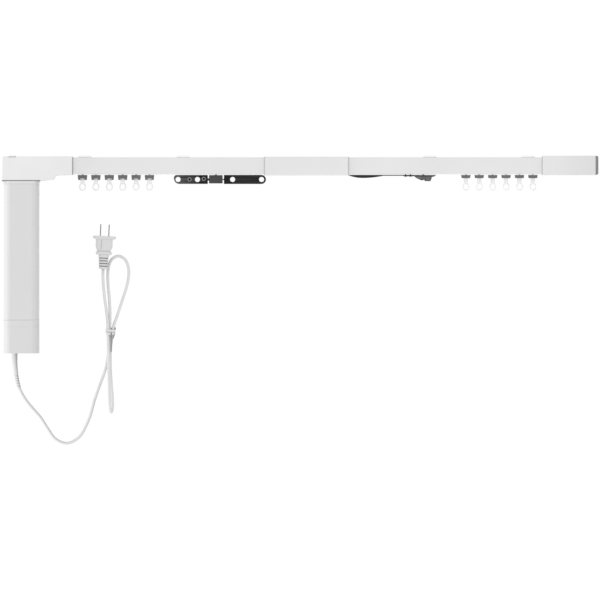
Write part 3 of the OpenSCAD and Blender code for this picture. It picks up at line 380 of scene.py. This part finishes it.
housing_shell = moulded("housing_shell", 0.795, 0.42, grain=0.6)
end_shell = moulded("end_shell", 0.757, 0.42, grain=0.6, fades=[(365, 425, 0.705)])
rail_coat = coated("rail_coat", 0.757, 0.40)
plate_coat = coated("plate_coat", 0.86, 0.40)
sleeve_coat = coated("sleeve_coat", 0.758, 0.38, dark_edge_reach=62.4)
motor_coat = coated("motor_coat", 0.68, 0.36, fades=MOTOR_SIDE_LIGHT_AND_SHADE)
cap_shell = moulded("cap_shell", 0.68, 0.42, grain=0.6, fades=MOTOR_SIDE_LIGHT_AND_SHADE,
                    marks=[(cap_groove_painted_light, 0.76), (cap_seam, 0.64)])
ring_shell = moulded("ring_shell", 0.72, 0.40)
end_face = moulded("end_face", 0.22, 0.45, grain=0.7, drift=0.06)
latch_grey = moulded("latch_grey", 0.70, 0.45, depth=0.01)
button_grey = moulded("button_grey", 0.55, 0.45, drift=0.06)
runner_grey = moulded("runner_grey", 0.15, 0.40, grain=0.5, drift=0.08, gloss=0.4)
# The seals are dark grey rubber whose darkness is painted shade: the shadow line under the drive housing
# and those where the rails enter the housings
seal_rubber_shade = moulded("seal_rubber_shade", 0.28, 0.65, grain=0.4, drift=0.08)
lip_rubber_shade = moulded("lip_rubber_shade", 0.42, 0.65, grain=0.4, drift=0.08)
arm_black = moulded("arm_black", 0.016, 0.34, grain=0.8, depth=0.015, drift=0.15, gloss=0.25)
# The tail arm's paler tone is a painted sheen, which fades out towards its right end by the block; the
# left lead arm darkens towards its left end
lead_arm_black = moulded("lead_arm_black", 0.022, 0.34, grain=0.8, depth=0.015, drift=0.15, gloss=0.2,
                         fades=[(-108, -118, 0.004)])
tail_arm_black = moulded("tail_arm_black", 0.085, 0.34, grain=0.8, depth=0.015, drift=0.25, gloss=0.25,
                         fades=[(-188, -152, 0.006)])
block_grey = moulded("block_grey", 0.058, 0.40, grain=0.6, drift=0.12, gloss=0.3,
                     marks=[(necks, 0.85)])
right_block_grey = moulded("right_block_grey", 0.12, 0.40, grain=0.6, drift=0.6, gloss=0.3, cloud=5,
                           marks=[(block_top_painted_shade, 0.055), (necks, 0.85)])
wheel_grey = moulded("wheel_grey", 0.058, 0.40, grain=0.6, drift=0.12, gloss=0.3)
hanger_white = moulded("hanger_white", 0.89, 0.26, grain=0.8, depth=0.01, drift=0.02)
eye_white = moulded("eye_white", 0.72, 0.30, grain=0.8, depth=0.01)
pulley_white = moulded("pulley_white", 0.76, 0.35)
lead_skin = moulded("lead_skin", 0.72, 0.38, grain=0.45, depth=0.006, marks=[(far_side_painted_shade, 0.28)])
gland_skin = moulded("gland_skin", 0.70, 0.38, grain=0.45, depth=0.006, marks=[(gland_painted_shade, 0.22)])
plug_skin = moulded("plug_skin", 0.69, 0.36, grain=0.7, marks=[(plug_grooves, 0.2)])
tie_skin = moulded("tie_skin", 0.74, 0.35, grain=0.5)
twist_skin = moulded("twist_skin", 0.30, 0.35, grain=0.5)
board_green = moulded("board_green", 0.06, 0.3)
belt_rubber = moulded("belt_rubber", 0.025, 0.7, grain=0.4, depth=0.04, drift=0.2)
zinc = metal("zinc", 0.62, 0.34, stretch=(1, 0.1, 1))
rivet_steel = metal("rivet_steel", 0.5, 0.38)
eyelet_steel = metal("eyelet_steel", 0.28, 0.38, bore=4.9)
blade_nickel = metal("blade_nickel", 0.24, 0.30, stretch=(1, 0.08, 1))
bronze = metal("bronze", 0.5, 0.4, warm=0.3)

FINISHES = {
    "left_rail": rail_coat, "right_rail": rail_coat, "joint_sleeve": sleeve_coat,
    "bracket_plates": plate_coat, "drive_housing": housing_shell, "drive_lid": housing_shell,
    "idler_housing": end_shell, "end_plate": end_face, "case_screws": zinc, "belt": belt_rubber,
    "idler_axle": zinc, "pulley_bushes": bronze, "rail_seals": lip_rubber_shade, "motor_seal": seal_rubber_shade,
    "motor_collar": ring_shell, "motor_casing": motor_coat, "motor_cap": cap_shell, "gearbox": zinc,
    "motor_can": zinc,
    "control_board": board_green, "light_pipe": eye_white, "plug_blades": blade_nickel,
    "drive_pulley": pulley_white, "drive_shaft": zinc, "idler_pulley": pulley_white,
    "release_latch": latch_grey, "setting_button": button_grey,
    "left_carriage": block_grey, "right_carriage": right_block_grey,
    "left_tail_arm": tail_arm_black, "left_lead_arm": lead_arm_black, "right_lead_arm": arm_black,
    "left_rivets": eyelet_steel, "right_rivets": rivet_steel,
    "left_clamp": arm_black, "right_clamp": arm_black,
    "left_wheels_a": wheel_grey, "left_wheels_b": wheel_grey,
    "right_wheels_a": wheel_grey, "right_wheels_b": wheel_grey,
}
# Widths in mm of the soft edges that moulding, bending or tumbling leaves
SOFT_EDGES = {
    "drive_housing": 0.4, "drive_lid": 0.4, "idler_housing": 0.5, "end_plate": 0.5,
    "joint_sleeve": 0.25, "left_rail": 0.2, "right_rail": 0.2, "bracket_plates": 0.2,
    "motor_collar": 0.5, "motor_casing": 0.6, "motor_cap": 0.6, "release_latch": 0.3,
    "left_carriage": 0.4, "right_carriage": 0.3, "left_tail_arm": 0.5, "left_lead_arm": 0.5,
    "right_lead_arm": 0.3, "left_rivets": 0.3, "right_rivets": 0.4, "plug_blades": 0.15,
    "setting_button": 0.3,
}


def soften(part, width):
    """Rounds the sharp edges of a solid and evens out its shading."""
    weld = part.modifiers.new("weld", "WELD")
    weld.merge_threshold = 0.00001
    bevel = part.modifiers.new("soft_edges", "BEVEL")
    bevel.limit_method = "ANGLE"
    bevel.angle_limit = math.radians(32)
    bevel.width = width * MM
    bevel.segments = 2
    bevel.use_clamp_overlap = True
    normals = part.modifiers.new("even_shading", "WEIGHTED_NORMAL")
    normals.keep_sharp = True


def dress(part, finish):
    part.data.materials.clear()
    part.data.materials.append(finish.material)


for name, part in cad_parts.items():
    if name.startswith("runner"):
        continue
    if name.startswith("bracket_lever"):
        finish, edge = zinc, 0.2
    else:
        finish, edge = FINISHES.get(name, lead_skin), SOFT_EDGES.get(name, 0.15)
    dress(part, finish)
    soften(part, edge)

dress(lead, lead_skin)


# Runners: each solid pair becomes a dark tile and a light hanger

def islands(shape):
    """The separate solids of a mesh, as lists of faces."""
    left, found = set(shape.faces), []
    while left:
        queue, solid = [left.pop()], []
        while queue:
            face = queue.pop()
            solid.append(face)
            near = {other for edge in face.edges for other in edge.link_faces} & left
            left -= near
            queue.extend(near)
        found.append(solid)
    return found


def runner_piece(name, faces, finish, body, node, edge):
    points = sorted({point for face in faces for point in face.verts}, key=lambda v: v.index)
    order = {point: i for i, point in enumerate(points)}
    data = bpy.data.meshes.new(name)
    data.from_pydata([point.co.copy() for point in points], [],
                     [[order[point] for point in face.verts] for face in faces])
    data.shade_smooth()
    piece = bpy.data.objects.new(name, data)
    bpy.context.collection.objects.link(piece)
    dress(piece, finish)
    soften(piece, edge)
    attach(piece, body)
    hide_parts(node)


def add_runner(mark):
    node, body = "runner_" + mark, "glider_" + mark
    shape = bmesh.new()
    shape.from_mesh(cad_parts[node].data)
    bmesh.ops.remove_doubles(shape, verts=shape.verts, dist=0.00001)
    shape.verts.index_update()
    for faces in islands(shape):
        depth = max(point.co.z for face in faces for point in face.verts)
        if depth < 6 * MM:
            runner_piece("tile_" + mark, faces, runner_grey, body, node, 0.35)
        else:
            runner_piece("hanger_" + mark, faces, hanger_white, body, node, 0.2)
    shape.free()


for side in "lr":
    for number in range(1, 7):
        add_runner(f"{side}{number}")


# Fine pieces of the lead

def mesh_piece(name, points, faces, finish, body, slot):
    data = bpy.data.meshes.new(name)
    data.from_pydata(points, [], faces)
    data.shade_smooth()
    piece = bpy.data.objects.new(name, data)
    bpy.context.collection.objects.link(piece)
    dress(piece, finish)
    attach(piece, body)
    return piece


def loft(rings):
    """Faces of a skin over equal rings of points, closed at both ends."""
    sides = len(rings[0])
    points = [point for ring in rings for point in ring]
    faces = [tuple(reversed(range(sides)))]
    for i in range(len(rings) - 1):
        for k in range(sides):
            n = (k + 1) % sides
            faces.append((i * sides + k, i * sides + n, (i + 1) * sides + n, (i + 1) * sides + k))
    faces.append(tuple((len(rings) - 1) * sides + k for k in range(sides)))
    return points, faces


def add_gland():
    """Tapered bend protector with moulded rings towards its thin end."""
    line = smooth_line(PLACES, 0, GLAND_END, 16)
    sides = 40
    rings = []
    for i, place in enumerate(line):
        ahead = (line[min(i + 1, len(line) - 1)] - line[max(i - 1, 0)]).normalized()
        side = ahead.cross(Vector((0, 0, 1))).normalized()
        up = side.cross(ahead)
        out = CAP_END_Y - place.y / MM
        if out < -4.6:
            radius = 6.4
        elif out < 0.5:
            radius = 4.8
        else:
            radius = 4.5 - 1.5 * out / 51
            if out > RING_START:
                turn = 2 * math.pi * (out - RING_START) / RING_PITCH
                radius -= 0.6 * (0.5 - 0.5 * math.cos(turn)) ** 2
        rings.append([place + (side * math.cos(a) + up * math.sin(a)) * radius * MM
                      for a in (2 * math.pi * k / sides for k in range(sides))])
    gland = mesh_piece("bend_protector", *loft([ring[::-1] for ring in rings]), gland_skin,
                       "track", "cord_grey")
    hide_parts("cord_gland")
    return gland


# Plug sections from the strain relief's thin end to the face: place, half width, half height
# and squareness, all in mm but the last
PLUG_SECTIONS = [
    (21.4, 8.4, 6.8, 3.0), (21.6, 11.2, 7.6, 3.2), (22.1, 12.1, 8.2, 3.4), (25.4, 12.1, 8.2, 3.4),
    (26.0, 11.5, 7.9, 3.4), (26.5, 9.9, 7.2, 3.2), (27.0, 9.7, 7.1, 3.2), (27.6, 10.0, 7.2, 3.2),
    (30.0, 11.3, 7.6, 3.2), (32.4, 12.4, 8.0, 3.4), (34.0, 12.7, 8.0, 3.4), (43.6, 12.7, 8.0, 3.6),
    (44.3, 12.9, 8.2, 3.8), (44.9, 14.0, 8.9, 4.0), (45.2, 16.2, 9.6, 4.2), (45.7, 17.1, 9.9, 4.4),
    (46.4, 17.2, 10.0, 4.4), (48.7, 17.2, 10.0, 4.4), (49.3, 16.9, 9.8, 4.4), (49.5, 16.4, 9.5, 4.4),
]


def plug_ring(y, half_w, half_h, square, sides=96):
    ring = []
    for k in range(sides):
        a = 2 * math.pi * k / sides
        c, s = math.cos(a), math.sin(a)
        x = half_w * math.copysign(abs(c) ** (2 / square), c)
        z = half_h * math.copysign(abs(s) ** (2 / square), s)
        if 29.5 < y < 44 and z > 5 and abs(x + 4.1) < 0.75:
            z -= 0.7
        ring.append(PLUG_AT + Matrix.Rotation(-PLUG_TURN, 3, "Z") @ Vector((x, y, z)) * MM)
    return ring[::-1]


def add_plug():
    """Moulded plug: ribbed strain relief, collar, waisted body with a grip line, flange."""
    sections, steps = [], 85
    for k in range(steps + 1):
        y = RELIEF_LEN * k / steps
        radius = RELIEF_R + RELIEF_FLARE * y
        rib = (y - SLOT_START) % SLOT_PITCH
        if SLOT_START < y < SLOT_END and rib < SLOT_WIDTH:
            radius -= SLOT_DEPTH * math.sin(math.pi * rib / SLOT_WIDTH) ** 0.6
        sections.append((y, radius, radius, 2.0))
    rings = [plug_ring(*section) for section in sections + PLUG_SECTIONS]
    plug = mesh_piece("plug", *loft(rings), plug_skin, "track", "cord_grey")
    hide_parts("plug_body")
    return plug


TIE_WAY = [
    (151.5, 4.3), (150.7, 1.7), (148.1, 0.6), (145, 0.55), (142.1, 0.48), (140.3, 1), (139.2, 2.4),
    (137, 7.7), (136.8, 8.9), (137.7, 11.1), (139.9, 12), (141.5, 11.6), (149, 7.2), (150.4, 5.6),
    (150.6, 4.4), (149.7, 2.2), (147.7, 1.1), (145, 0.65), (142, 0.48), (140.2, 1), (139.1, 2.4),
    (137, 7.8), (136.8, 9.2), (137.6, 11.4), (139.9, 12.4), (141.7, 12.1), (149.3, 7.9), (150.4, 6.8),
]


def eased(places, steps):
    """Points of a soft curve through the places."""
    line = []
    for i in range(len(places) - 1):
        a, b = places[i], places[i + 1]
        before = (b - places[i - 1]) / 2 if i else b - a
        after = (places[i + 2] - a) / 2 if i < len(places) - 2 else b - a
        for k in range(steps):
            t = k / steps
            line.append((2 * t**3 - 3 * t**2 + 1) * a + (t**3 - 2 * t**2 + t) * before
                        + (3 * t**2 - 2 * t**3) * b + (t**3 - t**2) * after)
    line.append(places[-1])
    return line


def long_end(t):
    """The tie's long end, which lies on the strands."""
    return from_cap(144.8 + 0.8 * math.sin(math.pi * t), 31 - 28.5 * t, 11.5 - 1.3 * t)


def short_end(t):
    """The tie's short end, which stands off at the side."""
    return from_cap(150.2 - 2.6 * t, 29.5 - 7.2 * t, 6.9 + 2.9 * t**0.7)


def twisted(way, turns, radius):
    """Two strands twisted about a way, radius mm from its middle."""
    strands, steps = [], 96
    for start in (0, math.pi):
        strand = []
        for k in range(steps + 1):
            a = start + 2 * math.pi * turns * k / steps
            strand.append(way(k / steps) + Vector((math.cos(a), 0, math.sin(a))) * radius * MM)
        strands.append(strand)
    return strands


def add_tie():
    """A ribbon, twice round the strands, and its two ends twisted together."""
    top, spread = 37.4, 8.6
    half_thick, half_wide = 0.4 * MM, 1.9 * MM
    pitch = spread / (len(TIE_WAY) - 1)
    line = eased([from_cap(x, top - pitch * i, h) for i, (x, h) in enumerate(TIE_WAY)], 6)
    sides, rings = 16, []
    for i, place in enumerate(line):
        ahead = (line[min(i + 1, len(line) - 1)] - line[max(i - 1, 0)]).normalized()
        thick = ahead.cross(Vector((0, 1, 0))).normalized()
        wide = ahead.cross(thick)
        ring = []
        for k in range(sides):
            c, s = math.cos(2 * math.pi * k / sides), math.sin(2 * math.pi * k / sides)
            ring.append(place + thick * half_thick * math.copysign(abs(c) ** 0.5, c)
                        + wide * half_wide * math.copysign(abs(s) ** 0.5, s))
        rings.append(ring)
    band = mesh_piece("tie_band", *loft(rings), tie_skin, "track", "clear_white")
    twist = wire("tie_twist", twisted(long_end, 5, 0.52) + twisted(short_end, 1.5, 0.36),
                 0.44 * MM, sides=3)
    dress(twist, twist_skin)
    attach(twist, "track")
    for piece in (band, twist):
        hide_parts("cord_tie")
    return band, twist


gland = add_gland()
plug = add_plug()
ties = add_tie()


# Floor and light

def seen_directly(finish):
    """One for rays from the camera or from a mirror or glass, nought for light."""
    def ray(kind):
        return finish.node("ShaderNodeLightPath", output=kind)
    total = ray("Is Camera Ray") + ray("Is Glossy Ray") + ray("Is Transmission Ray")
    return finish.node("ShaderNodeMath", {"operation": "MINIMUM"}, {0: total, 1: 1.0})


def add_floor():
    """White table top that takes a faint shadow."""
    half = 30.0
    data = bpy.data.meshes.new("table")
    z = (TABLE_Z - 0.05) * MM
    data.from_pydata([(-half, -half, z), (half, -half, z), (half, half, z), (-half, half, z)],
                     [], [(0, 1, 2, 3)])
    table = bpy.data.objects.new("table", data)
    bpy.context.collection.objects.link(table)
    finish = Finish("table_top", Base_Color=grey(0.85), Roughness=0.9)
    glow = finish.tree.nodes.new("ShaderNodeEmission")
    mix = finish.tree.nodes.new("ShaderNodeMixShader")
    finish.feed(mix.inputs[0], seen_directly(finish) * 0.9)
    finish.tree.links.new(finish.shader.outputs[0], mix.inputs[1])
    finish.tree.links.new(glow.outputs[0], mix.inputs[2])
    finish.tree.links.new(mix.outputs[0], finish.tree.nodes["Material Output"].inputs[0])
    glow.inputs["Strength"].default_value = 1.05
    dress(table, finish)


def add_light():
    """Even white room, and a low wide lamp from the left that models the round sides."""
    world = bpy.data.worlds.new("room")
    world.use_nodes = True
    bpy.context.scene.world = world
    shade = world.node_tree.nodes["Background"]
    shade.inputs["Color"].default_value = WHITE
    shade.inputs["Strength"].default_value = 1.0
    data = bpy.data.lights.new("window", "SUN")
    data.energy = 1.15
    data.angle = math.radians(15)
    lamp = bpy.data.objects.new("window", data)
    lamp.rotation_euler = Vector((0.93, 0.33, -0.06)).to_track_quat("-Z", "Y").to_euler()
    bpy.context.collection.objects.link(lamp)


add_floor()
add_light()
bpy.context.scene.view_settings.view_transform = "Standard"

bpy.context.view_layer.update()
